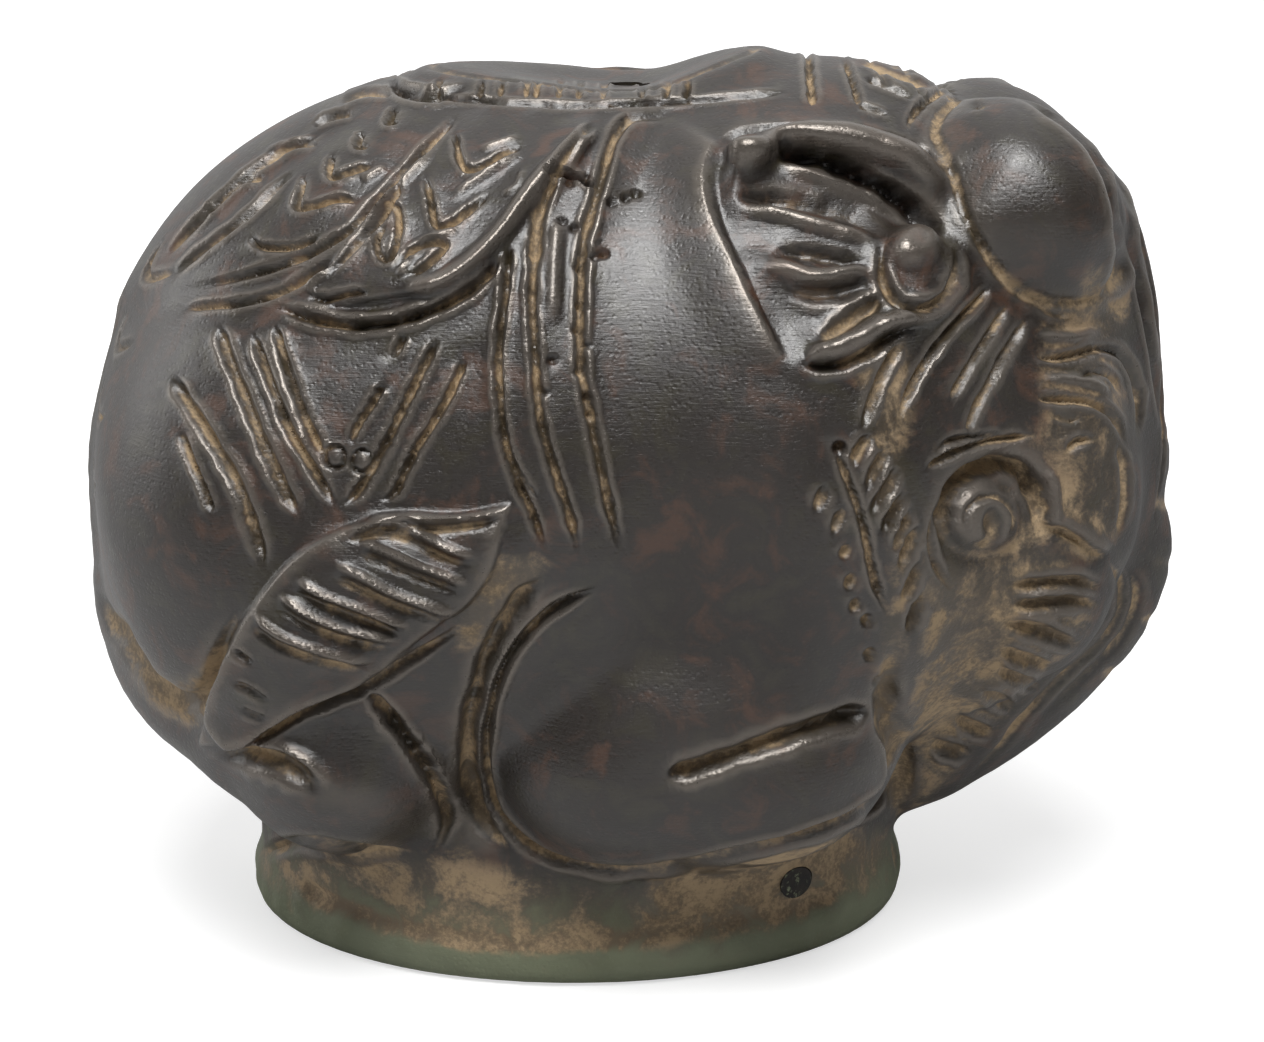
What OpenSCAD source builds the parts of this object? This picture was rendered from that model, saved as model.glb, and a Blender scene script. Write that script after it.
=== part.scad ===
/* [Body] */
// Length from the rump to the trunk
body_l = 78; // [74:1:84]
// Width over the shoulders
body_w = 53; // [50:1:58]
// Height of the back above the table
body_h = 63; // [60:1:68]
// Thickness of the cast wall under the skin
wall = 2.6; // [1.8:0.2:3.4]

/* [Head] */
// Width of the head over the cheeks
head_w = 37; // [33:1:41]
// Width of the trunk
trunk_w = 15; // [12:1:18]
// Width of one forehead dome
dome_w = 17; // [14:1:18]
// Radius of the boss in the ear
boss_r = 2.6; // [2:0.1:3]
// Radius of the eyeball
eye_r = 3; // [2.4:0.1:3.4]
// How far the eyeball stands out of its socket
eye_rise = 1.5; // [1:0.1:2]
// Depth of the socket round the eye
socket_sink = 1; // [0.6:0.1:1.4]
// How far the rim of the ear stands out
ear_rise = 1.1; // [0.6:0.1:1.6]
// Depth of the hollow behind the ear's rim
ear_sink = 0.9; // [0.6:0.1:1.1]

/* [Back and flanks] */
// Length of the saddle
saddle_l = 29; // [26:1:32]
// Width of the saddle
saddle_w = 20; // [17:1:22]
// How far the saddle's rim stands out
saddle_rise = 1.3; // [0.8:0.1:1.8]
// Depth of the seat below the saddle's rim
seat_sink = 1.4; // [0.8:0.1:2]
// How far the saddle cloth stands out
cloth_rise = 0.6; // [0.3:0.1:1]
// How far the rolled hem at the cloth's corner stands out
hem_rise = 0.7; // [0.4:0.1:1]
// Width of the girth strap
girth_w = 5.6; // [4.5:0.1:7]
// How far the girth strap stands out
girth_rise = 0.5; // [0.3:0.1:0.9]
// How far the tail and its tuft stand out
tail_rise = 1.1; // [0.6:0.1:1.6]
// Width of the rounded edge of a raised or sunk part
edge_w = 2.4; // [1.8:0.1:3]
// Half width of the folds and cut lines
line_w = 2; // [1.6:0.1:2.6]
// Depth of the cut lines
line_cut = 0.5; // [0.3:0.1:0.8]

/* [Foot] */
// Length of the foot's neck
foot_l = 48.4; // [46:0.2:52]
// Width of the foot's neck
foot_w = 36.8; // [35:0.2:40]
// Height of the foot up to the belly
foot_h = 8.6; // [7.5:0.1:10]
// Height of the foot's lip
lip_h = 3.4; // [2.6:0.1:4.4]
// How far the lip stands out from the neck
lip_out = 0.6; // [0.4:0.1:1.2]
// Size of the bevel round the foot's lower edge
foot_bevel = 0.7; // [0.3:0.1:1]
// Distance of the foot's middle behind the middle of the body
foot_back = 4; // [2:0.5:5]

/* [Base plate] */
// Thickness of the sheet that closes the underside
plate_t = 1; // [0.8:0.1:1.6]
// Depth of the sheet above the standing ring
plate_in = 1; // [0.8:0.1:1.4]
// Width of the standing ring round the sheet
ring_w = 1.6; // [1.2:0.1:2.4]
// Width of the ledge that the sheet rests against
ledge_w = 1.8; // [1.2:0.1:2.4]
// Clearance all round the sheet
plate_gap = 0.1; // [0.05:0.05:0.2]
// Width and height of the seam of solder
seam_w = 0.7; // [0.5:0.1:0.8]

/* [Holes] */
// Diameter of the filling hole in the seat
fill_d = 3; // [2:0.1:4]
// Diameter of the pouring hole in the brow
pour_d = 2.4; // [1.6:0.1:3]
// Diameter of the plugs in the holes of the core pin
plug_d = 2.4; // [1.8:0.1:3]
// Clearance of a plug in its hole
plug_gap = 0.05; // [0.02:0.01:0.08]
// Distance of the core pin in front of the middle of the foot
pin_x = 16; // [14:0.5:18]
// Height of the core pin above the table
pin_z = 6; // [5.5:0.1:6.2]

/* [Hidden] */

front = body_l / 2;
rear = -body_l / 2;
foot_x = -foot_back;
$fn = 96;

// ---- The body's skin: rounded masses, blended into one surface ----

// Every point of the skin lies on a ray from this point
core = [0, 0, 0.54 * body_h];
// A higher number blends the masses with sharper creases
blend = 40;

function total(v) = v * [for (x = v) 1];

// A rounded mass: its middle, its half sizes and how far its long axis points up.
// Lengths along x and z are hundredths of the body's length and height
function mass(middle, half, tilt = 0) =
    let (c = cos(tilt), s = sin(tilt),
         at = [middle.x * body_l / 100, middle.y, middle.z * body_h / 100],
         squash = [
             [c, 0, s] / (half.x * body_l / 100),
             [0, 1, 0] / half.y,
             [-s, 0, c] / (half.z * body_h / 100),
         ],
         from = squash * (core - at))
    [squash, from, from * from - 1];

// Distance from the core to the far side of a mass along direction d
function reach(m, d) =
    let (a = m[0] * d, aa = a * a, ab = a * m[1], q = ab * ab - aa * m[2])
    q < 0 ? 0 : max(0, (sqrt(q) - ab) / aa);

masses = [
    // Rump, with the barrel that joins it to the shoulders
    mass([-15.3, 0, 54.8], [34.6, 0.485 * body_w, 42.5]),
    mass([-25, 0, 39.4], [24.4, 0.415 * body_w, 25.4]),
    mass([-6.4, 0, 57.6], [35.9, 0.485 * body_w, 41.7]),
    // Shoulders and nape
    mass([11.5, 0, 57.6], [29.5, 0.5 * body_w, 42.4]),
    mass([19.2, 0, 74.6], [19.2, 0.283 * body_w, 25.4]),
    // Head, forehead dome and cheek
    mass([25, 0, 57.9], [23.7, 0.473 * head_w, 37.3]),
    mass([34.6, 0.324 * dome_w, 84.1], [11.3, 0.559 * dome_w, 11.4], -52),
    mass([30.8, 0.25 * head_w, 52.4], [15.4, 0.25 * head_w, 23.8]),
    // Trunk, from the brow down to the foot
    mass([39.7, 0, 65.1], [9.6, 0.5 * trunk_w, 25.4]),
    mass([39.4, 0, 49.2], [11, 0.5 * trunk_w, 20.6]),
    mass([31.8, 0, 30.2], [23.6, 0.5 * trunk_w, 15.4], 38),
    // Foreleg, folded along the foot
    mass([5.8, 0.231 * body_w, 32.5], [19.2, 0.25 * body_w, 19.8]),
    mass([-0.6, 0.231 * body_w, 27.8], [12.8, 0.25 * body_w, 15.1]),
    mass([11.5, 0.231 * body_w, 27], [12.8, 0.239 * body_w, 13.5]),
    // Haunch and hind foot
    mass([-24.4, 0.189 * body_w, 52.4], [23.1, 0.3 * body_w, 30.2]),
    mass([-25.6, 0.198 * body_w, 28.6], [12.2, 0.255 * body_w, 15.6]),
];

// Distance from the core's axis to an oval of half sizes a and b round the foot's middle
function oval_reach(a, b, turn) =
    let (u = [cos(turn) / a, sin(turn) / b], o = [(core.x - foot_x) / a, 0], uu = u * u, uo = u * o)
    (sqrt(uo * uo - uu * (o * o - 1)) - uo) / uu;

// The skin without its relief, along direction d, above a foot whose neck is at distance neck
function bare_skin(d, neck) =
    let (side = norm([d.x, d.y]),
         f = [d.x, abs(d.y), d.z],
         z = core.z + d.z * neck / side,
         in_foot = z > 0 && z < 1.5 * foot_h ? neck / side : 0)
    pow(total([for (m = masses) pow(reach(m, f), blend)]) + pow(in_foot, blend), 1 / blend);

// ---- Relief, drawn as seen from the side and a little from above ----

// Angle from which the relief is drawn
look = 20;
// Place of the boss in the ear and of the eye, in that view
boss = [0.24 * body_l, 0.675 * body_h];
eye = [0.309 * body_l, 0.408 * body_h];
// Places from which the grooves of dome and trunk, and the cloth and tail, are measured
crown = [front, 0.675 * body_h];
brow = [front, 0.611 * body_h];
rump = [rear, 0.659 * body_h];

function seen(p) = [p.x, p.z * cos(look) - abs(p.y) * sin(look)];
// A line of points in hundredths of the body's length and height, from a place in that view
function moved(line, by) = [for (p = line) by + [p.x * body_l, p.y * body_h] / 100];
function ease(t) = t <= 0 ? 0 : t >= 1 ? 1 : t * t * (3 - 2 * t);

function to_stretch(p, a, b) =
    let (ab = b - a, t = (p - a) * ab / (ab * ab))
    norm(p - a - max(0, min(1, t)) * ab);
function to_line(p, line) =
    min([for (i = [0 : len(line) - 2]) to_stretch(p, line[i], line[i + 1])]);
function crosses(p, a, b) =
    (a.y > p.y) != (b.y > p.y) && p.x < a.x + (b.x - a.x) * (p.y - a.y) / (b.y - a.y);
function inside(p, shape) =
    total([for (i = [0 : len(shape) - 1])
        crosses(p, shape[i], shape[(i + 1) % len(shape)]) ? 1 : 0]) % 2 == 1;

// A raised area with a rounded edge, or a sunk one when rise is negative
function pad(p, shape, rise, edge) =
    inside(p, shape) ? rise * ease(to_line(p, concat(shape, [shape[0]])) / edge) : 0;
// A rounded ridge along a line, or a groove when rise is negative
function ridge(p, line, half_w, rise) = rise * ease(1 - to_line(p, line) / half_w);
// The lowest of several grooves
function grooves(p, lines) = min([for (line = lines) ridge(p, line, line_w, -line_cut)]);
// A rounded knob
function knob(p, middle, radius, rise) = rise * ease(1.3 * (1 - norm(p - middle) / radius));

ear = moved([
    [-16.7, 11], [-14.5, 14], [-10.3, 14.9], [-5, 14.8], [-0.5, 13.8], [2.6, 11.7], [3.8, 7.9], [3.6, 0],
    [1.3, -4.1], [-1.4, -6.5], [-4.1, -9.8], [-9.5, -13], [-13.2, -4.9], [-15.6, 0.6], [-17.1, 6.2],
], boss);
ear_rim = moved([[-15.3, 8.7], [-13.3, 12.1], [-7.7, 12.9], [-2.4, 12.1], [1.3, 8.9]], boss);
ear_hollow = moved([[-11.7, 12.4], [-8, 11.1], [-4.2, 9.4], [-0.5, 6.8], [2, 3.9]], boss);
// Folds that run from the rim of the ear to its boss
ear_folds = [for (line = [
    [[-15.1, 5.6], [-10.6, 4.1], [-6.4, 2.4], [-3.2, 0.9]],
    [[-13, -0.6], [-8.5, -2.1], [-4.1, -1]],
    [[-9.7, -10.7], [-6.2, -9.7], [-2.8, -7.5], [0.7, -5.7]],
]) moved(line, boss)];
socket = moved([
    [-5.5, -5.7], [-6, 1.6], [-4, 5.9], [1.8, 7.9], [5, 5.7], [6.2, -1.3], [3.8, -5.4], [-0.5, -6.8],
], eye);
// Cut lines round the dome, down the temple and over the brow
brow_cuts = [for (line = [
    [
        [-17.7, 23.5], [-22.1, 18.9], [-22.9, 14.9], [-21.2, 7.6], [-18.2, 1.3], [-14.4, -2.5],
        [-9.5, -2.1], [-6.5, 2.7],
    ],
    [[-19, -1.4], [-23.6, -7.9], [-26.2, -12.7], [-28, -17.9]],
    [[-15.3, -8.4], [-11.1, -8.3], [-6.3, -7.2], [-4.2, -11.6], [-5.1, -17.8]],
]) moved(line, crown)];
// Cut lines along the trunk and across it
trunk_cuts = [for (line = [
    [
        [-7.9, -14.1], [-6.3, -17.3], [-5.8, -23.7], [-3.8, -28.6], [-4.6, -35.7], [-9.6, -41.7],
        [-16.7, -47.6],
    ],
    [[-17.4, -27.2], [-13.2, -26.7], [-7.7, -27.4]],
    [[-18.6, -34.9], [-15.1, -35.9], [-10.2, -37.8]],
]) moved(line, brow)];
// Edge of the collar behind the cheek
collar = moved([[-6.8, -20.5], [-4.9, -26.7], [-3.3, -33.6], [-1.4, -37.6]], boss);
head_cuts = concat(brow_cuts, trunk_cuts, [collar]);
cloth = moved([
    [-11.5, 0], [11.5, -2.1], [18.1, -2.1], [22.6, -0.8], [25.6, -4.6], [31, -4.9], [35.3, -2.2],
    [39.7, 2.5], [43.6, 9.5], [46.8, 17.5], [46.8, 38.1], [-11.5, 38.1],
], rump);
// The rolled hem that falls from the saddle to the cloth's front corner
hem = moved([
    [31, -1.9], [33.7, -1.6], [36.6, 0.8], [39.3, 4.1], [41.7, 8.5], [44.2, 12.4], [46, 16],
], rump);
// Lines between the folds of the cloth, and the strings of the tassels below it
cloth_cuts = [for (line = [
    [[35.5, 19.1], [30.9, 11.5], [26.7, 5.1], [22.3, 2.1], [17, 0.4], [11.6, -0.3]],
    [[9.7, 3.6], [13.7, 7.6], [17.6, 10.8], [21.3, 15.2], [25.1, 18.2]],
    [[11.1, -9.6], [15.6, -17.8], [18, -23.4], [19.6, -30.7]],
    [[16.8, -5], [20.1, -15.2], [24.4, -24.8]],
    [[36.4, -9.1], [32.6, -18.1], [29.3, -23.5]],
]) moved(line, rump)];
girth = moved([
    [49.2, 17.6], [46.2, 9.7], [43.1, 1.6], [42.4, -6.2], [43.2, -15.1], [45, -23], [46.2, -29.4],
], rump);
tuft = moved([
    [10.3, -50], [15.5, -40.6], [19.7, -32.5], [25.4, -26], [31.2, -24.6], [41.7, -24.6],
    [42.6, -30.5], [37.6, -35.6], [30.8, -39.8], [24.6, -43.8], [17.1, -48.6], [14.1, -53.2],
], rump);
// Lines between the locks of the tuft
lock_cuts = [for (line = [
    [[27.2, -27.6], [32.8, -28.5], [38.5, -30]],
    [[23.7, -33], [29.6, -35.6], [34.3, -37.2]],
    [[18.3, -38], [22.8, -41], [27.4, -42]],
]) moved(line, rump)];
// Lines that part the foreleg, the forearm and the hind foot
leg_cuts = [for (line = [
    [[-3.2, 33.3], [-8.3, 30.3], [-12.1, 24.1], [-13.2, 17.8], [-12.7, 11.1], [-8.3, 4.4]],
    [[3, 14.2], [7.8, 15.9], [14.6, 18.8], [21.1, 21.1]],
    [[-22.4, 23], [-18.8, 18.9], [-16.3, 13.3], [-16.5, 7.8]],
]) moved(line, [0, 0])];
// The tail comes round the rump to the right flank, as points in space
tail = [
    [rear, 0, 0.603 * body_h],
    [-0.494 * body_l, -0.038 * body_w, 0.444 * body_h],
    [-0.462 * body_l, -0.132 * body_w, 0.302 * body_h],
    [-0.385 * body_l, -0.302 * body_w, 0.246 * body_h],
];

// The saddle lies a little behind the middle, above this height
saddle_x = -0.032 * body_l;
saddle_floor = core.z + 0.24 * body_h;

// Place in the saddle: 0 in its middle, 1 on its edge
function saddle_at(p) = norm([(p.x - saddle_x) / (saddle_l / 2), p.y / (saddle_w / 2)]);
// The saddle's rim is low at its sides and high at its two ends
function saddle_lift(p, at) =
    let (end = abs(p.x - saddle_x) / (saddle_l / 2))
    saddle_rise * (0.2 + 0.8 * end) * ease((1 - at) * 5) - seat_sink * ease((0.8 - at) * 1.6);

// How far the relief lifts the skin at point p
function relief(p) =
    let (q = seen(p),
         top = p.z > saddle_floor ? saddle_at(p) : 9,
         head = q.x > ear[0].x - 2,
         right = p.y < 0)
    (top < 1 ? saddle_lift(p, top) : 0)
    + (head
        ? pad(q, ear, -ear_rise * 0.7, 1.25 * edge_w)
            + ridge(q, ear_rim, 1.3 * line_w, ear_rise * 1.3)
            + ridge(q, ear_hollow, 1.2 * line_w, -ear_sink)
            + max([for (f = ear_folds) ridge(q, f, line_w, ear_rise * 0.7)])
            + knob(q, boss, 1.4 * boss_r, ear_rise * 1.4)
            + pad(q, socket, -socket_sink, edge_w)
            + knob(q, eye, 1.2 * eye_r, eye_rise)
            + grooves(q, head_cuts)
        : pad(q, cloth, top < 1 ? 0 : cloth_rise, edge_w)
            + (top < 1 ? 0 : ridge(q, hem, line_w, hem_rise) + grooves(q, cloth_cuts))
            + girth_rise * ease((0.6 * girth_w - to_line(q, girth)) / line_w)
            + (right
                ? max(pad(q, tuft, tail_rise, edge_w), tail_rise * ease(1.6 - to_line(p, tail) / edge_w))
                    + grooves(q, lock_cuts)
                : 0))
    + grooves(q, leg_cuts);

// ---- The skin, the foot and the water chamber as one closed grid ----

columns = 100;
rows = 48;
// The chamber has half the columns
hollow_rows = 13;
// Angle from upright of the first ring round the filling hole
top_turn = 3;

plate_l = foot_l + 2 * lip_out - 2 * ring_w;
plate_w = foot_w + 2 * lip_out - 2 * ring_w;
mouth_l = plate_l - 2 * ledge_w;
mouth_w = plate_w - 2 * ledge_w;
ledge_z = plate_in + plate_t;

// Columns stand closer together on the head than on the rump
function turn_at(i) = 360 * i / columns - 10 * sin(360 * i / columns);
function aim(turn, t) = [sin(t) * cos(turn), sin(t) * sin(turn), cos(t)];

// Points of one column of the foot: height, and distance from the neck
foot_profile = [
    [(foot_h + lip_h) / 2, 0],
    [lip_h + lip_out, 0],
    [lip_h, lip_out],
    [foot_bevel, lip_out],
    [0, lip_out - foot_bevel],
];

function with_relief(p, d) = p + relief(p) * d;

function outer_column(turn) =
    let (neck = oval_reach(foot_l / 2, foot_w / 2, turn),
         plate = oval_reach(plate_l / 2, plate_w / 2, turn),
         last = 90 + atan((core.z - foot_h) / neck),
         u = [cos(turn), sin(turn), 0])
    concat(
        [for (j = [0 : rows])
            let (d = aim(turn, top_turn + (last - top_turn) * j / rows))
            with_relief(core + bare_skin(d, neck) * d, d)],
        [for (p = foot_profile) [core.x, core.y, p[0]] + (neck + p[1]) * u],
        [for (z = [0, ledge_z]) [core.x, core.y, z] + plate * u]);

// From the ledge up to the top of the chamber
function inner_column(turn) =
    let (neck = oval_reach(foot_l / 2, foot_w / 2, turn),
         mouth = oval_reach(mouth_l / 2, mouth_w / 2, turn),
         last = 90 + atan((core.z - foot_h - wall) / mouth),
         u = [cos(turn), sin(turn), 0])
    concat(
        [for (z = [ledge_z, foot_h - wall / 2]) [core.x, core.y, z] + mouth * u],
        [for (j = [0 : hollow_rows])
            let (d = aim(turn, last + (top_turn - last) * j / hollow_rows))
            core + (bare_skin(d, neck) - wall) * d]);

outer = [for (i = [0 : columns - 1]) outer_column(turn_at(i))];
inner = [for (i = [0 : 2 : columns - 1]) inner_column(turn_at(i))];
half = columns / 2;
rings = len(outer[0]);
hollow_rings = len(inner[0]);
first_inner = columns * rings;
top_point = first_inner + half * hollow_rings;

points = concat(
    [for (j = [0 : rings - 1]) for (i = [0 : columns - 1]) outer[i][j]],
    [for (j = [0 : hollow_rings - 1]) for (i = [0 : half - 1]) inner[i][j]],
    [[core.x, core.y, (outer[0][0].z + outer[half][0].z) / 2],
     [core.x, core.y, (inner[0][hollow_rings - 1].z + inner[half / 2][hollow_rings - 1].z) / 2]]);

// Faces between two rings of n points that start at a and b
function band(a, b, n) =
    [for (i = [0 : n - 1]) let (k = (i + 1) % n) each [[a + i, a + k, b + k], [a + i, b + k, b + i]]];

// The same, with each four-sided patch split along its shorter diagonal
function smooth_band(a, b, n) =
    [for (i = [0 : n - 1])
        let (k = (i + 1) % n,
             down = norm(points[a + i] - points[b + k]),
             up = norm(points[a + k] - points[b + i]))
        each down < up
            ? [[a + i, a + k, b + k], [a + i, b + k, b + i]]
            : [[a + i, a + k, b + i], [a + k, b + k, b + i]]];

last_outer = columns * (rings - 1);
last_inner = first_inner + half * (hollow_rings - 1);
faces = concat(
    [for (i = [0 : columns - 1]) [top_point, (i + 1) % columns, i]],
    [for (j = [0 : rings - 2]) each smooth_band(j * columns, (j + 1) * columns, columns)],
    [for (i = [0 : half - 1])
        let (a = last_outer + 2 * i,
             next = last_outer + (2 * i + 2) % columns,
             b = first_inner + i,
             c = first_inner + (i + 1) % half)
        each [[a, a + 1, b], [a + 1, next, c], [a + 1, c, b]]],
    [for (j = [0 : hollow_rings - 2]) each band(first_inner + j * half, first_inner + (j + 1) * half, half)],
    [for (i = [0 : half - 1]) [last_inner + i, last_inner + (i + 1) % half, top_point + 1]]);

// ---- Holes ----

// Angle of the pouring hole from upright
pour_lean = 57;
pin_at = [foot_x + pin_x, 0, pin_z];

module fill_hole() {
    translate(core) cylinder(d = fill_d, h = body_h);
}

module pour_hole() {
    translate(core) rotate([0, pour_lean, 0]) cylinder(d = pour_d, h = body_h);
}

module core_pin(d) {
    translate(pin_at) rotate([90, 0, 0]) cylinder(d = d, h = body_w, center = true);
}

// ---- Sub-parts ----

module oval(length, width, z, height) {
    translate([foot_x, 0, z]) scale([1, width / length, 1]) cylinder(d = length, h = height);
}

module body_casting() {
    color("#4a3a2c") difference() {
        polyhedron(points, faces);
        fill_hole();
        pour_hole();
        core_pin(plug_d);
    }
}

module base_plate() {
    color("#6b5a3c") oval(plate_l - 2 * plate_gap, plate_w - 2 * plate_gap, plate_in, plate_t);
}

module solder_seam() {
    outer_l = plate_l - 2 * plate_gap;
    outer_w = plate_w - 2 * plate_gap;
    color("#8c8776") difference() {
        oval(outer_l, outer_w, plate_in - seam_w, seam_w);
        translate([foot_x, 0, plate_in - seam_w]) scale([1, outer_w / outer_l, 1])
            cylinder(d1 = outer_l, d2 = outer_l - 2 * seam_w, h = seam_w);
    }
}

module core_plugs() {
    color("#2e2620") intersection() {
        core_pin(plug_d - 2 * plug_gap);
        difference() {
            oval(foot_l + 0.4, foot_w + 0.4, pin_z - plug_d, 2 * plug_d);
            oval(mouth_l, mouth_w, pin_z - 2 * plug_d, 4 * plug_d);
        }
    }
}

body_casting();
base_plate();
solder_seam();
core_plugs();
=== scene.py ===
# %% [markdown]
# # A bronze water dropper in the form of a crouched elephant
# A water dropper holds the few drops that a calligrapher grinds ink with. This one is a
# single lost-wax casting, small enough for the palm, with a hole in the seat that a
# fingertip closes and a smaller one in the brow that pours. The CAD part gives its true
# size, its masses and its holes. Here the skin of the casting gets its carved lines, its
# dark patina and the ochre dust that has settled in every hollow.

import math

import bpy
import numpy as np
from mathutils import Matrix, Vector, kdtree


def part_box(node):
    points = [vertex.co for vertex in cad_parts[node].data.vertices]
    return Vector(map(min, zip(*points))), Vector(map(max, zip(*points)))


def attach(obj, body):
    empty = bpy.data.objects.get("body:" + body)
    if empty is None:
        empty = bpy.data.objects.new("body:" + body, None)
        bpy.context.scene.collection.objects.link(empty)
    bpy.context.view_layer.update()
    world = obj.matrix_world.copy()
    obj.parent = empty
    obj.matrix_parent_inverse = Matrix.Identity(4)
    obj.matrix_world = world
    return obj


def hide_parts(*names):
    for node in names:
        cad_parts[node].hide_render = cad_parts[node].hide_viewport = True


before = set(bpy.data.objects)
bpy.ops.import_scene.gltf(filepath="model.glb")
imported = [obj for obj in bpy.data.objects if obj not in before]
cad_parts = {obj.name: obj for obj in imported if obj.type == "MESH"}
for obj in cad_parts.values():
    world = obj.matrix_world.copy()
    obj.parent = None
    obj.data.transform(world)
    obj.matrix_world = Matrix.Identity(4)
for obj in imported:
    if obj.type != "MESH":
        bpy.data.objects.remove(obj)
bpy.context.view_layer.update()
MM = 0.001

# %% [markdown]
# ## The camera
# The camera comes first, because the carved lines are drawn as it sees them: a line is a
# list of places in the picture, and the skin below those places is cut. It stands a
# forearm's length from the right flank and looks a little down, which gives the strong
# perspective of a small thing seen close by.

# %% Camera
IMAGE_W = 1264
IMAGE_H = 1042
LENS = 76.5
SENSOR_W = 36.0
LOOK_AT = np.array([0.2, 0.0, 29.0])
DISTANCE = 200.0
ELEVATION = math.radians(16)

BACK = np.array([0.0, -math.cos(ELEVATION), math.sin(ELEVATION)])
EYE = LOOK_AT + DISTANCE * BACK

camera = bpy.data.objects.new("camera", bpy.data.cameras.new("camera"))
bpy.context.scene.collection.objects.link(camera)
camera.data.lens = LENS
camera.data.sensor_width = SENSOR_W
camera.data.clip_start = 0.01
camera.location = Vector(EYE * MM)
camera.rotation_euler = Vector(-BACK).to_track_quat("-Z", "Y").to_euler()
bpy.context.scene.camera = camera
print("camera at", [round(v, 1) for v in EYE], "mm")


# %% Where a point shows in the picture
def in_picture(points):
    """Pixels of points in mm, drawn on the right flank; the left flank is its mirror image."""
    near = points * [1, 0, 1] - np.abs(points) * [0, 1, 0]
    offset = near - EYE
    depth = offset @ -BACK
    up = np.array([0.0, math.sin(ELEVATION), math.cos(ELEVATION)])
    scale = IMAGE_W * LENS / SENSOR_W / depth
    return np.stack(
        [IMAGE_W / 2 + scale * offset[:, 0], IMAGE_H / 2 - scale * (offset @ up)], 1
    )


print("the look-at point shows at", in_picture(LOOK_AT[None])[0].round(1))

# %% [markdown]
# ## The skin as one even net
# The CAD skin is a coarse net of flat triangles. A sculptor wants an even, fine one. So a
# cube is divided many times and blown up into a ball, and the ball is drawn tight on to a
# smoothed copy of the casting, as wax is pressed on a core. The ball beats a remesh here,
# because every point of this animal can be seen from its middle.


# %% Small helpers for objects
def only(piece):
    """Selects one object and makes it active."""
    bpy.ops.object.select_all(action="DESELECT")
    piece.select_set(True)
    bpy.context.view_layer.objects.active = piece
    return piece


def modify(piece, kind, **settings):
    """Adds a modifier with its settings and applies it."""
    only(piece)
    modifier = piece.modifiers.new(kind.lower(), kind)
    for name, value in settings.items():
        setattr(modifier, name, value)
    bpy.ops.object.modifier_apply(modifier=modifier.name)
    return piece


def copy_of_node(name):
    """A loose copy of a CAD node's mesh, with its doubled corners merged."""
    piece = bpy.data.objects.new("copy_of_" + name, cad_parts[name].data.copy())
    bpy.context.scene.collection.objects.link(piece)
    only(piece)
    bpy.ops.object.mode_set(mode="EDIT")
    bpy.ops.mesh.select_all(action="SELECT")
    bpy.ops.mesh.remove_doubles(threshold=0.001 * MM)
    bpy.ops.object.mode_set(mode="OBJECT")
    return piece


def corners(piece):
    """The places of a mesh's vertices in mm, as rows of x, y and z."""
    found = np.empty(len(piece.data.vertices) * 3)
    piece.data.vertices.foreach_get("co", found)
    return found.reshape(-1, 3) / MM


def set_corners(piece, places):
    piece.data.vertices.foreach_set("co", (places * MM).ravel())
    piece.data.update()


# %% A smooth copy of the casting, to press the net on
CORE = np.array([0.0, 0.0, 34.0])
POUR_LEAN = math.radians(57)
SEAT_HOLE_R = 1.5
BROW_HOLE_R = 1.2
PIN_HOLE_R = 1.2
UP = Vector((0, 0, 1))
POUR_WAY = Vector((math.sin(POUR_LEAN), 0, math.cos(POUR_LEAN)))

form = copy_of_node("body_casting")
modify(form, "SUBSURF", levels=1, render_levels=1)
print("form to press on:", len(form.data.polygons), "faces")


# %% Lids on the holes and under the foot, so that the net can't fall in
def skin_beside(way, off):
    """Distance in mm from the core to the skin, just beside a hole that runs along way."""
    across = way.orthogonal().normalized()
    found = []
    for turn in range(8):
        angle = math.tau * turn / 8
        ring = way.cross(across) * math.sin(angle) + across * math.cos(angle)
        start = Vector(CORE * MM) + ring * off * MM + way * 60 * MM
        hit, spot, _, _ = form.ray_cast(start, -way)
        if hit:
            found.append((spot - Vector(CORE * MM)).dot(way) / MM)
    return sum(found) / len(found)


def bar(radius, length, middle, way, sides=64, squash=1):
    """A round bar in mm along way; squash makes it an oval."""
    bpy.ops.object.select_all(action="DESELECT")
    bpy.ops.mesh.primitive_cylinder_add(vertices=sides, radius=radius * MM, depth=length * MM)
    made = bpy.context.object
    made.scale = (1, squash, 1)
    made.rotation_euler = way.to_track_quat("Z", "Y").to_euler()
    made.location = Vector(middle) * MM
    bpy.ops.object.transform_apply()
    return made


LID_DEPTH = 6
LID_MARGIN = 0.3


def lid(way, radius):
    """A short round lid that ends level with the skin round a hole."""
    reach = skin_beside(way, radius + 2 * LID_MARGIN)
    middle = Vector(CORE) + way * (reach - LID_DEPTH / 2)
    return bar(radius + LID_MARGIN, LID_DEPTH, middle, way, 32), reach


plate_lo, plate_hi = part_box("base_plate")
PLATE_X = (plate_lo.x + plate_hi.x) / 2 / MM
PLATE_HALF = (plate_hi - plate_lo) / 2 / MM

seat_lid, SEAT_REACH = lid(UP, SEAT_HOLE_R)
brow_lid, BROW_REACH = lid(POUR_WAY, BROW_HOLE_R)
floor_r = PLATE_HALF.x + LID_MARGIN
floor_squash = (PLATE_HALF.y + LID_MARGIN) / floor_r
floor_lid = bar(floor_r, LID_DEPTH, (PLATE_X, 0, LID_DEPTH / 2), UP, 96, floor_squash)
pin_lids = copy_of_node("core_plugs")
for piece in (seat_lid, brow_lid, floor_lid, pin_lids):
    piece.select_set(True)
form.select_set(True)
bpy.context.view_layer.objects.active = form
bpy.ops.object.join()
print("holes are", round(SEAT_REACH, 2), "and", round(BROW_REACH, 2), "mm from the core")

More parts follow.
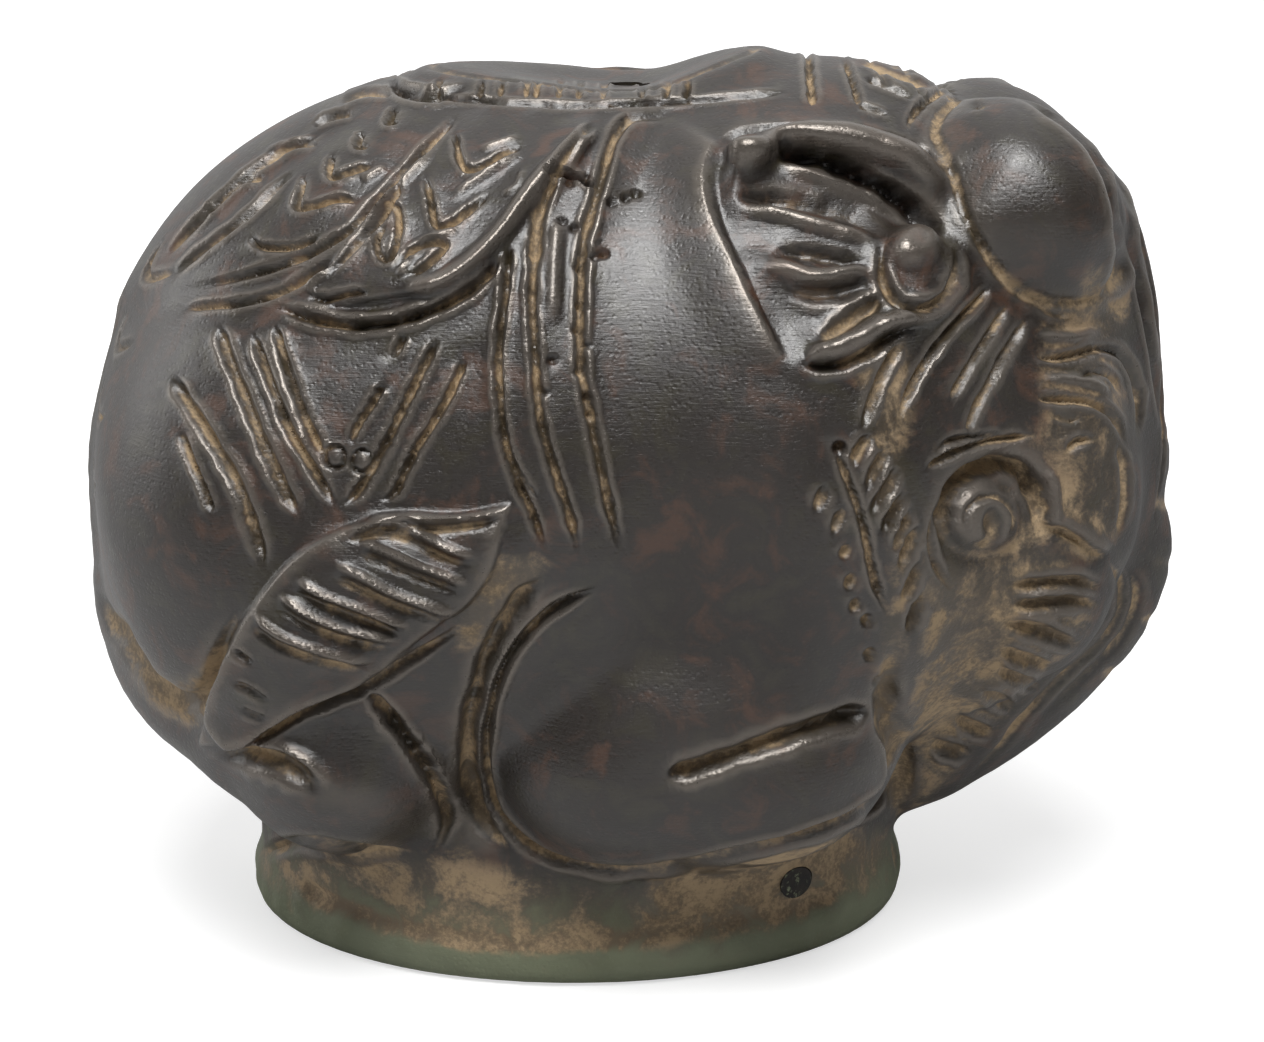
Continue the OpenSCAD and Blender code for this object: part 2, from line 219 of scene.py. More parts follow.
# %% The ball of net, drawn tight on to the form
FINE = 8
SMOOTHING = 12
BALL_R = 60.0

bpy.ops.object.select_all(action="DESELECT")
bpy.ops.mesh.primitive_cube_add(size=2)
elephant = bpy.context.object
elephant.name = "elephant"
elephant.data.name = "elephant"
modify(elephant, "SUBSURF", subdivision_type="SIMPLE", levels=FINE, render_levels=FINE)
square = corners(elephant) * MM
even = np.tan(square * math.pi / 4)
ball = even / np.linalg.norm(even, axis=1)[:, None]
set_corners(elephant, CORE + BALL_R * ball)
modify(elephant, "SHRINKWRAP", target=form, wrap_method="PROJECT",
       use_negative_direction=True, use_positive_direction=False)
modify(elephant, "SMOOTH", factor=0.5, iterations=SMOOTHING)
bpy.data.objects.remove(form)
print("net:", len(elephant.data.vertices), "points")

# %% [markdown]
# ## Carving tools
# The wax of such a piece is worked with a few tools: a pointed one that cuts lines and
# throws up a small burr, a round one that leaves ridges, a thumb that raises pads, and a
# flat blade that sets one surface below another. Each tool here is a function. It finds
# the points of the net under its stroke, and says how far each moves in or out. Nothing
# moves until the end, so that strokes don't push one another about.

# %% The net as the tools see it
place = corners(elephant)
normal = np.empty(len(place) * 3)
elephant.data.vertices.foreach_get("normal", normal)
normal = normal.reshape(-1, 3)
right_normal = normal * [1, 0, 1] - normal * np.sign(place[:, 1:2] + 1e-9) * [0, 1, 0]
near_place = place * [1, 0, 1] - np.abs(place) * [0, 1, 0]
to_eye = EYE - near_place
to_eye /= np.linalg.norm(to_eye, axis=1)[:, None]


def ease(t):
    t = np.clip(t, 0, 1)
    return t * t * (3 - 2 * t)


# A view is where each point shows in it, and how well it is seen: 0 to 1
SIDE = (in_picture(place), ease(np.sum(right_normal * to_eye, 1) / 0.16))
RIGHT = (SIDE[0], SIDE[1] * ease((2 - place[:, 1]) / 3))
TOP = (np.abs(place[:, :2]) * [0, 1] + place[:, :2] * [1, 0], ease(normal[:, 2] / 0.4))
FRONT = (np.abs(place[:, 1:]), ease(normal[:, 0] / 0.5 - 0.3))
REAR = (place[:, 1:], ease(-normal[:, 0] / 0.5 - 0.3))

rise = np.zeros(len(place))
cut = np.zeros(len(place))
dust = np.zeros(len(place))


# %% The line under a tool
def through(points, steps=6):
    """A smooth line through points."""
    points = np.array(points, float)
    if len(points) < 3:
        return points
    padded = np.vstack([2 * points[0] - points[1], points, 2 * points[-1] - points[-2]])
    t = np.linspace(0, 1, steps, endpoint=False)[:, None]
    line = []
    for a, b, c, d in zip(padded, padded[1:], padded[2:], padded[3:]):
        bend = 2 * a - 5 * b + 4 * c - d
        turn = 3 * b - a - 3 * c + d
        line.append((2 * b + (c - a) * t + bend * t**2 + turn * t**3) / 2)
    return np.vstack([*line, points[-1:]])


def under(line, spots, reach):
    """The net's points within reach of a line: which, how far, how far along, on which side."""
    which = np.flatnonzero(
        np.all((spots > line.min(0) - reach) & (spots < line.max(0) + reach), axis=1)
    )
    spots = spots[which]
    starts, ways = line[:-1], np.diff(line, axis=0)
    lengths = np.linalg.norm(ways, axis=1)
    before = np.concatenate([[0], np.cumsum(lengths)])
    far = np.full(len(which), 1e9)
    along = np.zeros(len(which))
    side = np.zeros(len(which))
    for start, way, length, done in zip(starts, ways, lengths, before):
        if length < 1e-6:
            continue
        off = spots - start
        t = np.clip(off @ way / length**2, 0, 1)
        gap = np.linalg.norm(off - t[:, None] * way, axis=1)
        nearer = gap < far
        far[nearer] = gap[nearer]
        along[nearer] = (done + t * length)[nearer] / before[-1]
        side[nearer] = np.sign(way[0] * off[:, 1] - way[1] * off[:, 0])[nearer]
    keep = far < reach
    return which[keep], far[keep], along[keep], side[keep]


def tapered(along, ends):
    """1 along a stroke, and less towards its ends, where the tool comes in and out."""
    first = ease(along / max(ends[0], 1e-6)) if ends[0] else 1
    last = ease((1 - along) / max(ends[1], 1e-6)) if ends[1] else 1
    return first * last


# %% The tools
def groove(points, width=9, depth=0.5, ends=(0.2, 0.2), dusty=0.7, burr=0.3, view=SIDE):
    """A cut line, with a burr along its edges and dust at its bottom."""
    spots, seen = view
    which, far, along, _ = under(through(points), spots, width * 1.5)
    # A hand never keeps a stroke quite even
    waver = np.sin(along * len(points) * 4.1 + points[0][0]) * np.sin(along * 11 + points[0][1])
    force = tapered(along, ends) * seen[which] * (1 + 0.15 * waver)
    half = width / 2 * (0.55 + 0.45 * tapered(along, ends)) * (1 + 0.12 * waver)
    shape = ease(1 - far / half) * 0.6 + np.clip(1 - far / half, 0, 1) * 0.4
    cut[which] = np.minimum(cut[which], -depth * force * shape)
    rise[which] += burr * depth * force * np.exp(-(((far - 1.4 * half) / (0.5 * half)) ** 2))
    dust[which] = np.maximum(dust[which], dusty * force * (1 - waver / 3) * ease(1.2 - far / half))


def ridge(points, width=14, height=0.4, ends=(0.25, 0.25), view=SIDE):
    """A rounded ridge."""
    spots, seen = view
    which, far, along, _ = under(through(points), spots, width / 2)
    rise[which] += height * tapered(along, ends) * seen[which] * ease(1 - 2 * far / width)


def ledge(points, height=0.6, crisp=5, fade=40, ends=(0.2, 0.2), view=SIDE):
    """Sets one side of a line above the other: the side on the right hand of its travel is
    raised when height is positive, and both fade away from the line."""
    spots, seen = view
    which, far, along, side = under(through(points), spots, fade)
    force = tapered(along, ends) * seen[which] * ease(1 - far / fade)
    rise[which] += height / 2 * force * np.clip(side * far / crisp * 2, -1, 1)


def inside(shape, spots):
    found = np.zeros(len(spots), bool)
    for (ax, ay), (bx, by) in zip(shape, np.roll(shape, -1, axis=0)):
        if ay == by:
            continue
        level = (ay > spots[:, 1]) != (by > spots[:, 1])
        found ^= level & (spots[:, 0] < ax + (bx - ax) * (spots[:, 1] - ay) / (by - ay))
    return found


def pad(points, height=0.5, edge=10, dusty=0.0, view=SIDE):
    """A raised area with a rounded edge, or a sunk one when height is negative."""
    spots, seen = view
    outline = through([*points, points[0]], 4)
    which, far, _, _ = under(outline, spots, 400)
    held = inside(outline, spots[which])
    force = seen[which] * ease(far / edge) * held
    rise[which] += height * force
    dust[which] = np.maximum(dust[which], dusty * force)


def knob(middle, size, height=0.5, tilt=0.0, dusty=0.0, flat=1.0, view=SIDE):
    """A round lump, or a dent when height is negative. A higher flat gives a flatter top."""
    spots, seen = view
    turn = math.radians(tilt)
    off = spots - np.array(middle, float)
    a = (off[:, 0] * math.cos(turn) + off[:, 1] * math.sin(turn)) / size[0]
    b = (off[:, 1] * math.cos(turn) - off[:, 0] * math.sin(turn)) / size[1]
    force = ease(np.clip(1 - np.hypot(a, b), 0, 1) * flat) * seen
    rise[:] += height * force
    dust[:] = np.maximum(dust, dusty * force)


def dusted(points, amount=0.6, edge=30, view=SIDE):
    """Dust that lies over an area."""
    spots, seen = view
    outline = through([*points, points[0]], 4)
    which, far, _, side = under(outline, spots, 400)
    held = inside(outline, spots[which])
    force = amount * seen[which] * ease(0.5 + np.where(held, far, -far) / edge)
    dust[which] = np.maximum(dust[which], force)


print("tools ready, for", len(place), "points")

# %% [markdown]
# ## The ear
# The ear is the boldest carving. A thick rolled rim overhangs a deep black hollow, and
# four folds run from the rim down to a round boss, the root of the ear. Its rear edge
# lies under the shoulder, so a ledge parts them.

# %% Ear
ledge(
    [(724, 140), (712, 160), (709, 180), (712, 202), (719, 224), (729, 245), (740, 268),
     (752, 295), (766, 322), (779, 347), (792, 374)],
    0.8, crisp=9, fade=70, ends=(0.06, 0.2),
)
groove(
    [(716, 152), (733, 133), (760, 127), (800, 125), (842, 126), (882, 133), (914, 146),
     (938, 165), (952, 190)],
    9, 0.5, (0.1, 0.2), dusty=0.1, burr=0,
)
ridge([(726, 160), (756, 151), (790, 139), (830, 137), (870, 145), (905, 158), (932, 178),
       (946, 198)], 38, 0.95, (0.05, 0.25))
knob((748, 163), (34, 22), 0.7, tilt=-8)
groove([(768, 143), (788, 150), (818, 158), (850, 172), (880, 187), (907, 204), (930, 225),
        (944, 240)], 29, 1.4, (0.12, 0.15), dusty=0, burr=0)
groove([(726, 190), (757, 196), (790, 198), (818, 203), (846, 209), (872, 226), (888, 242)],
       22, 0.75, (0.35, 0.25), dusty=0.2, burr=0)
groove([(766, 251), (800, 252), (830, 256), (856, 262), (874, 264)],
       21, 0.6, (0.4, 0.3), dusty=0.2, burr=0)
groove([(780, 288), (822, 294), (858, 287), (882, 276)],
       22, 0.45, (0.3, 0.3), dusty=0.2)
ridge([(777, 160), (802, 172), (832, 183), (862, 193), (886, 208), (897, 218)], 26, 0.5)
ridge([(733, 205), (765, 211), (800, 221), (835, 231), (866, 241), (880, 250)], 20, 0.5)
ridge([(760, 258), (788, 269), (815, 277), (845, 273), (872, 266)], 24, 0.5)
groove([(815, 342), (840, 326), (864, 310), (886, 298)], 17, 0.6, (0.3, 0.2), 1.0)
ridge([(803, 354), (830, 351), (856, 341), (878, 328), (902, 320), (932, 312)], 26, 0.9,
      (0.15, 0.3))
groove([(797, 364), (835, 366), (868, 353), (898, 332), (925, 325)], 14, 0.6, (0.2, 0.3), 0.3)
knob((914, 247), (32, 27), 0.75, tilt=-10, flat=1.4)
groove([(890, 232), (882, 252), (882, 275), (892, 297), (912, 308), (934, 305), (950, 290),
        (956, 268), (952, 245)], 15, 0.6, (0.3, 0.2), dusty=0.6)
print("ear: deepest cut", round(float(-cut.min()), 2), "mm")

# %% [markdown]
# ## The domes of the forehead
# Two smooth domes sit on the brow, each ringed by a fine cut line that has filled with
# dust. A narrow ridge runs down between them to the trunk.

# %% Domes and the ridge between them
groove([(992, 83), (970, 91), (952, 103), (940, 116), (935, 131), (940, 147), (949, 168),
        (958, 192), (964, 212), (972, 230), (983, 249), (996, 268), (1011, 285), (1029, 297),
        (1050, 303), (1077, 303), (1100, 297), (1114, 284)],
       11, 0.42, (0.08, 0.15), dusty=1.1, burr=0.1)
groove([(1100, 297), (1116, 280), (1122, 255), (1119, 228), (1110, 195), (1094, 160),
        (1068, 128), (1036, 103), (1005, 90)],
       18, 0.6, (0.1, 0.2), dusty=0.1)
groove([(911, 137), (910, 122), (922, 105), (940, 93), (962, 86), (988, 81)], 9, 0.4)
groove([(972, 105), (984, 108)], 9, 0.4, (0.3, 0.3), 0.8)
knob((1032, 196), (105, 130), 0.5, tilt=60, flat=1.3)
groove([(1100, 150), (1114, 180), (1124, 215), (1132, 252), (1142, 300), (1151, 350),
        (1158, 400), (1162, 440)], 9, 0.35, (0.2, 0.2), 0)
groove([(1112, 150), (1128, 190), (1140, 230), (1150, 270), (1156, 310), (1161, 350)],
       8, 0.3, (0.2, 0.2), 0)
dusted([(1085, 270), (1125, 268), (1130, 320), (1105, 335), (1080, 310)], 0.55, 24)

# %% [markdown]
# ## Temple, brow and eye
# Long cuts fan down from below the dome to the cheek, and wrinkles curl over the brow.
# The eye is a ball in a deep socket, with a slit for its pupil.

# %% Temple and brow
groove([(991, 285), (977, 302), (960, 319), (944, 337), (929, 357), (915, 380), (904, 405),
        (895, 430)], 10, 0.55, (0.1, 0.3), 0.9)
TEMPLE_CUTS = [
    [(1011, 300), (1000, 318), (988, 338), (975, 358), (962, 380), (948, 405)],
    [(1029, 312), (1017, 336), (1003, 358), (991, 382), (978, 405), (966, 440)],
]
for line in TEMPLE_CUTS:
    groove(line, 11, 0.5, dusty=0.9, burr=0.1)
groove([(905, 335), (890, 360), (878, 385), (868, 412), (860, 435)], 12, 0.5, (0.2, 0.3), 0.9)
groove([(1031, 352), (1050, 358), (1075, 355), (1100, 348), (1119, 353), (1131, 371),
        (1137, 396), (1138, 421), (1134, 448)], 10, 0.5, (0.12, 0.3), 0.5)
groove([(1036, 398), (1060, 400), (1085, 402), (1106, 410), (1119, 426), (1125, 448)],
       10, 0.5, (0.1, 0.3), 0.6)
groove([(1074, 380), (1093, 371), (1111, 376), (1122, 396)], 8, 0.4, (0.2, 0.3), 0.4)
groove([(1036, 303), (1056, 314), (1080, 313)], 9, 0.35, (0.2, 0.4), 0.4)
groove([(1050, 414), (1070, 421), (1082, 418)], 7, 0.3, (0.3, 0.3), 0.5)
groove([(1066, 457), (1076, 442), (1100, 440)], 9, 0.4, (0.3, 0.4), 0.6)
ridge([(1040, 378), (1066, 380), (1096, 386), (1112, 400)], 18, 0.35)
ridge([(1034, 335), (1070, 338), (1104, 330)], 20, 0.3)
groove([(1117, 440), (1124, 470), (1124, 505), (1116, 540)], 10, 0.35, (0.2, 0.3), 0.2)

# %% Eye
pad([(940, 560), (934, 520), (942, 486), (962, 462), (992, 452), (1024, 456), (1046, 478),
     (1056, 512), (1050, 548), (1010, 566), (970, 570)], -0.3, edge=18)
groove([(944, 552), (945, 520), (952, 497), (964, 480), (984, 469), (1006, 465), (1024, 472),
        (1035, 489), (1041, 510), (1042, 534)],
       24, 1.2, (0.2, 0.2), dusty=0.15, burr=0.08)
knob((984, 520), (46, 42), 0.65, dusty=0.12, flat=1.6)
iris = [(988 + 25 * math.cos(a), 519 + 22 * math.sin(a)) for a in np.linspace(-3.9, 0.9, 9)]
groove(iris, 10, 0.35, (0.2, 0.2), dusty=0.4, burr=0.1)
knob((991, 524), (15, 24), -0.8, dusty=0.5)
knob((982, 543), (16, 12), -0.3, dusty=0.9)
groove([(922, 472), (938, 461), (958, 451), (984, 443), (1010, 438), (1038, 436)], 9, 0.5)
groove([(932, 457), (950, 441), (982, 436), (1012, 431)], 8, 0.35, (0.3, 0.3), 0.2)
groove([(936, 500), (931, 540), (939, 571), (954, 592)], 9, 0.4, (0.3, 0.3), 0.6)
ridge([(1046, 466), (1056, 496), (1052, 530)], 12, 0.35)

# %% [markdown]
# ## Trunk and collar
# The trunk curls down and back under the chin. A double line marks its edge, with short
# wrinkles across, and the dust is thickest here. A collar with leaf-shaped cuts lies
# round the neck.

# %% Trunk
groove([(1104, 556), (1118, 572), (1123, 595), (1116, 620), (1098, 646), (1070, 671),
        (1045, 696), (1020, 722), (1000, 748), (975, 772), (950, 795)],
       12, 0.3, (0.1, 0.3), 0.3, burr=0.2)
groove([(1118, 556), (1133, 578), (1136, 602), (1124, 632), (1098, 662), (1070, 690),
        (1045, 713), (1022, 735)], 15, 0.3, (0.2, 0.4), 0, burr=0.2)
ledge([(1040, 520), (1066, 532), (1092, 546), (1112, 556)], -0.6, crisp=6, fade=26)
groove([(1050, 523), (1070, 534), (1092, 547)], 11, 0.4, (0.3, 0.3), 1.0)
TRUNK_WRINKLES = [
    [(1004, 588), (1040, 584), (1080, 582), (1106, 590)],
    [(1006, 607), (1045, 602), (1076, 600), (1102, 608)],
    [(998, 624), (1036, 629), (1066, 640), (1086, 646)],
    [(996, 648), (1026, 658), (1056, 668)],
    [(996, 668), (1018, 678), (1040, 688)],
    [(978, 694), (1000, 700), (1016, 710)],
    [(952, 716), (974, 727), (996, 733)],
    [(930, 742), (950, 750), (972, 752)],
]
for wrinkle in TRUNK_WRINKLES:
    groove(wrinkle, 16, 0.5, (0.3, 0.35), 0.75, burr=0.45)
dusted([(920, 530), (960, 560), (1010, 555), (1060, 560), (1090, 600), (1060, 660),
        (960, 760), (920, 815), (895, 740), (915, 660), (915, 600)], 0.62, 50)
dusted([(1040, 300), (1110, 300), (1130, 420), (1120, 540), (1050, 540), (1040, 400)],
       0.4, 40)
dusted([(930, 440), (1040, 430), (1060, 540), (1000, 580), (930, 560)], 0.3, 30)

# %% Collar
groove([(838, 454), (845, 474), (853, 495), (860, 516), (866, 540), (870, 562), (876, 585),
        (885, 606), (895, 625)], 10, 0.4, (0.05, 0.25), 0.8, burr=0.4)
knob((840, 448), (10, 9), -0.8, dusty=0.3)
LEAF_CUTS = [
    [(872, 432), (858, 452), (853, 470)],
    [(889, 446), (875, 470), (866, 492)],
    [(899, 464), (886, 490), (867, 517)],
    [(905, 490), (892, 516), (880, 538)],
    [(911, 505), (903, 531), (894, 556)],
    [(918, 522), (908, 550), (899, 573)],
    [(921, 560), (912, 584), (902, 606)],
    [(924, 592), (915, 615), (907, 636)],
]
for leaf in LEAF_CUTS:
    groove(leaf, 14, 0.55, (0.35, 0.35), 1.0)
COLLAR_PITS = [
    [(828, 482), (821, 498), (815, 515)],
    [(846, 505), (838, 520), (832, 538)],
    [(849, 543), (841, 560)],
    [(855, 572), (846, 592)],
    [(861, 598), (850, 614)],
    [(873, 614), (862, 628)],
    [(876, 648), (864, 662)],
    [(884, 676), (874, 690)],
]
for pit in COLLAR_PITS:
    groove(pit, 15, 0.45, (0.4, 0.4), 0.8, burr=0.15)
groove([(897, 640), (890, 680), (888, 712), (897, 742), (901, 772), (896, 803), (908, 832)],
       34, 0.8, (0.3, 0.3), 1.0, burr=0.03)
dusted([(850, 345), (905, 335), (915, 400), (905, 470), (920, 560), (905, 700), (893, 820),
        (870, 700), (890, 560), (868, 440)], 0.5, 30)

# %% [markdown]
# ## Saddle, cloth and girth
# The seat is a shallow oval with a raised front and back. The cloth below it is cut into
# folds with rows of arrow-shaped nicks. A girth of two bands runs down to the belly.

# %% Saddle
groove([(390, 78), (402, 91), (430, 97), (462, 98)], 12, 0.55, (0.1, 0.4), 0.2)
groove([(398, 88), (430, 95), (470, 100), (520, 104), (570, 106), (620, 104), (680, 101),
        (740, 97), (792, 92)], 7, 0.35, (0.05, 0.1), 0.3)
ledge([(392, 84), (412, 92), (440, 92), (468, 84)], -0.4, crisp=4, fade=14)
SADDLE_TICKS = (437, 479, 499, 525, 535, 558, 578, 602, 641, 665, 685)
for x in SADDLE_TICKS:
    groove([(x + 4, 77), (x, 99)], 8, 0.4, (0.3, 0.2), 0.8, view=RIGHT)
groove([(808, 50), (810, 76), (813, 106)], 10, 0.5, (0.1, 0.1), 0.9)
groove([(844, 58), (852, 80), (859, 106)], 8, 0.4, (0.2, 0.1), 0.9)
groove([(859, 106), (878, 112), (892, 114)], 7, 0.3, (0.1, 0.4), 0.8)
groove([(858, 62), (892, 73), (932, 88)], 8, 0.35)
groove([(864, 78), (888, 87), (914, 98)], 8, 0.35)
groove([(884, 64), (922, 74), (950, 84)], 7, 0.3)

# %% Cloth
CLOTH_GROOVES = [
    [(462, 110), (446, 128), (428, 147), (404, 172), (378, 200), (352, 228), (330, 243),
     (300, 258), (262, 271), (225, 281), (172, 293)],
    [(404, 178), (394, 198), (380, 220), (358, 243), (340, 262), (326, 278)],
    [(179, 309), (210, 306), (240, 303), (280, 292), (318, 270), (344, 250)],
    [(309, 297), (328, 298), (352, 293), (372, 292)],
    [(165, 257), (188, 234), (212, 209), (236, 186), (262, 165), (290, 150), (330, 128)],
    [(172, 276), (200, 253), (228, 231), (256, 208), (284, 180), (301, 168)],
    [(392, 95), (366, 94), (338, 103)],
    [(353, 113), (330, 118), (312, 126)],
    [(317, 143), (290, 148), (264, 156)],
    [(262, 178), (250, 180), (238, 184)],
    [(215, 210), (205, 212)],
]
for line in CLOTH_GROOVES:
    groove(line, 9, 0.5, (0.12, 0.25), 0.55)
# Arrow-shaped nicks: down one side, round the point and up the other
CHEVRONS = [
    [(455, 128), (457, 146), (462, 164), (468, 170), (484, 167), (504, 156), (524, 146)],
    [(424, 172), (430, 196), (434, 220), (438, 227), (450, 225), (468, 212), (492, 192)],
    [(390, 218), (397, 208), (399, 232), (391, 258), (381, 256), (377, 240), (390, 218)],
    [(400, 268), (412, 252), (430, 244), (446, 246), (432, 262), (416, 273), (402, 277)],
    [(334, 152), (329, 172), (334, 178), (352, 172), (374, 164)],
    [(306, 172), (300, 194), (297, 207), (316, 206), (340, 199), (362, 203)],
    [(250, 234), (258, 245), (276, 248), (300, 246), (322, 236)],
    [(363, 132), (357, 146), (368, 146)],
    [(396, 108), (388, 122), (398, 120)],
]
for nick in CHEVRONS:
    groove(nick, 8, 0.5, (0.15, 0.2), 1.0)
CLOTH_RIDGES = [
    [(478, 152), (500, 144), (522, 137)],
    [(450, 200), (470, 184), (498, 168), (526, 152)],
    [(500, 196), (516, 188), (526, 168)],
    [(420, 244), (440, 236), (462, 232)],
    [(400, 277), (404, 268), (414, 256)],
    [(362, 183), (376, 172), (388, 168)],
    [(307, 292), (316, 280), (330, 270)],
    [(436, 152), (410, 176), (384, 204), (362, 228)],
]
for line in CLOTH_RIDGES:
    ridge(line, 12, 0.3)
ridge([(400, 288), (424, 287), (450, 277), (476, 258), (500, 234), (521, 206), (541, 180),
       (566, 156), (594, 124)], 28, 0.85, (0.12, 0.1))
groove([(270, 306), (292, 312), (318, 320), (346, 325), (372, 325), (398, 321), (436, 309),
        (466, 293), (488, 275), (502, 258)], 13, 0.75, (0.15, 0.1), 0.5)
pad([(310, 296), (360, 296), (402, 290), (430, 290), (410, 308), (370, 316), (330, 312)],
    -0.35, 10)

# %% Girth
groove([(597, 120), (582, 138), (566, 160), (553, 180), (544, 204), (538, 224), (535, 250),
        (533, 275), (532, 302), (534, 335), (536, 368), (538, 402), (542, 427), (549, 452),
        (557, 478), (566, 504), (574, 532), (580, 560)],
       11, 0.5, (0.05, 0.1), 0.7)
groove([(543, 196), (537, 222), (535, 250), (532, 282)], 20, 0.6, (0.3, 0.4), 0.9, burr=0)
groove([(680, 117), (650, 117), (628, 120), (614, 138), (606, 163), (598, 190), (590, 216),
        (584, 242), (582, 270), (581, 300), (580, 332), (581, 362), (585, 388), (590, 412),
        (595, 438), (601, 468), (608, 500), (616, 532), (622, 556)],
       12, 0.5, (0.15, 0.1), 0.75)
groove([(510, 244), (507, 270), (504, 300), (500, 332), (498, 362), (500, 397), (503, 430),
        (509, 456), (518, 482), (530, 508), (540, 534), (549, 558)],
       10, 0.55, (0.05, 0.15), 0.6)
groove([(509, 450), (522, 476), (540, 503)], 8, 0.35, (0.3, 0.3), 0.5)
groove([(541, 180), (560, 175), (578, 177), (590, 186), (600, 180)], 7, 0.6, (0.1, 0.2), 0)
GIRTH_PITS = ((562, 222), (575, 228), (626, 198), (612, 203), (636, 194), (594, 257),
              (604, 254), (578, 268), (570, 182), (586, 178), (580, 305), (576, 330),
              (586, 345), (578, 372), (588, 398), (590, 415), (552, 360), (544, 392))
for spot in GIRTH_PITS:
    knob(spot, (8, 6), -0.45, dusty=0.2)
ridge([(560, 205), (555, 240), (553, 280), (552, 330)], 26, 0.3)

# %% [markdown]
# ## Tassels and the tail
# Long cuts hang from the cloth over the haunch like the strings of tassels. The tail comes
# round the rump to the right, and its tuft lies on the thigh in thick locks, so this side
# has what the left side lacks.

# %% Tassels
TASSELS = [
    ([(172, 374), (184, 397), (200, 421), (216, 447), (232, 473), (244, 500), (254, 530),
      (262, 556), (264, 574)], 14),
    ([(219, 322), (226, 350), (239, 383), (250, 410), (262, 440), (276, 471), (290, 500),
      (302, 518)], 14),
    ([(252, 330), (262, 360), (275, 394), (290, 430), (304, 454), (320, 480), (337, 509)], 11),
    ([(274, 323), (283, 355), (295, 390), (308, 424), (320, 449), (328, 462)], 11),
    ([(383, 384), (372, 404), (358, 425), (350, 444)], 9),
    ([(438, 338), (425, 365), (410, 395), (398, 420), (385, 446), (372, 470), (356, 494),
      (338, 509)], 11),
    ([(466, 358), (450, 394), (433, 424), (418, 446), (406, 470), (394, 494), (376, 502)], 10),
    ([(404, 336), (394, 357)], 10),
    ([(181, 432), (192, 462), (205, 492), (213, 516)], 9),
]
for line, width in TASSELS:
    groove(line, width, 0.55, (0.1, 0.15), 0.75)
for x, y in ((335, 457), (362, 461)):
    ring = [(x + 10 * math.cos(a), y + 11 * math.sin(a)) for a in np.linspace(0, math.tau, 9)]
    groove(ring, 6, 0.35, (0, 0), 0.5)

# %% Tail and its tuft, on the right flank alone
pad([(197, 748), (203, 706), (217, 664), (238, 622), (262, 588), (286, 560), (312, 540),
     (342, 525), (372, 515), (410, 509), (452, 512), (492, 506), (515, 501), (508, 530),
     (496, 572), (470, 606), (440, 626), (402, 655), (362, 684), (330, 698), (300, 711),
     (270, 731), (246, 748)], 0.45, edge=9, view=RIGHT)
LOCKS = [
    [(362, 519), (400, 517), (440, 519), (480, 515), (513, 504)],
    [(346, 532), (384, 524), (416, 530), (446, 545), (482, 556)],
    [(360, 541), (390, 553), (420, 565), (450, 575), (472, 583)],
    [(334, 563), (364, 575), (395, 590), (426, 600), (462, 611)],
    [(298, 577), (330, 592), (365, 605), (400, 618), (416, 623)],
    [(281, 592), (310, 610), (345, 625), (380, 632), (402, 635)],
    [(257, 609), (280, 628), (315, 643), (350, 652), (377, 655)],
]
for lock in LOCKS:
    ridge(lock, 12, 0.5, (0.15, 0.2), view=RIGHT)
    below = [(x - 4, y + 11) for x, y in lock]
    groove(below, 11, 0.35, (0.15, 0.25), 0.7, burr=0, view=RIGHT)
groove([(248, 746), (270, 731), (300, 713), (332, 699), (366, 686), (402, 663), (440, 640),
        (474, 618)], 12, 0.6, (0.1, 0.3), 0.7, view=RIGHT)
for line in ([(236, 645), (246, 653), (258, 661)], [(236, 678), (254, 686), (272, 697)],
             [(244, 703), (256, 708), (268, 713)]):
    groove(line, 8, 0.35, (0.3, 0.3), 0.5, view=RIGHT)
groove([(98, 588), (118, 630), (142, 668), (168, 694), (192, 702), (206, 690), (218, 652),
        (236, 618), (250, 592)], 22, 0.7, (0.15, 0.3), 0.9, burr=0, view=RIGHT)
dusted([(120, 635), (150, 668), (190, 676), (215, 640), (222, 660), (205, 720), (175, 718),
        (140, 690)], 0.9, 20, view=RIGHT)
ledge([(240, 638), (222, 664), (211, 698), (212, 724), (230, 744), (254, 748)],
      -0.35, crisp=5, fade=18, view=RIGHT)

# %% [markdown]
# ## Legs and foot
# The legs are folded under the belly, and deep dusty valleys part them. The oval foot was
# cast with the body. Its lower edge steps out, and there the metal has turned green.

# %% Legs
groove([(366, 690), (386, 711), (407, 739), (426, 766), (440, 791), (447, 816), (440, 840),
        (424, 852)], 16, 0.8, (0.1, 0.3), 0.55)
groove([(550, 572), (524, 598), (502, 630), (488, 660), (478, 692), (471, 724), (469, 762),
        (476, 802), (492, 832), (522, 856)], 26, 0.9, (0.15, 0.2), 0.5, burr=0.03)
groove([(600, 586), (570, 598), (544, 615), (520, 641), (502, 672), (492, 704), (486, 742),
        (488, 782), (501, 816), (532, 846), (572, 863), (620, 870), (680, 863), (740, 850),
        (800, 836), (850, 816), (884, 792), (893, 762), (886, 736), (868, 714)],
       12, 0.6, (0.05, 0.1), 0.5)
groove([(664, 774), (690, 768), (720, 758), (760, 745), (800, 731), (840, 719), (872, 709)],
       22, 1.0, (0.08, 0.1), 0.75, burr=0.1)
groove([(214, 752), (250, 752), (284, 762), (308, 778), (322, 794)], 26, 0.7, (0.3, 0.3), 0.8)
ridge([(200, 760), (240, 745), (282, 747), (314, 764), (336, 788)], 16, 0.4)
knob((350, 800), (110, 48), 0.5, tilt=10)
knob((640, 700), (190, 170), 0.35)
groove([(252, 858), (300, 842), (360, 850), (420, 852)], 16, 0.5, (0.2, 0.3), 0.4)
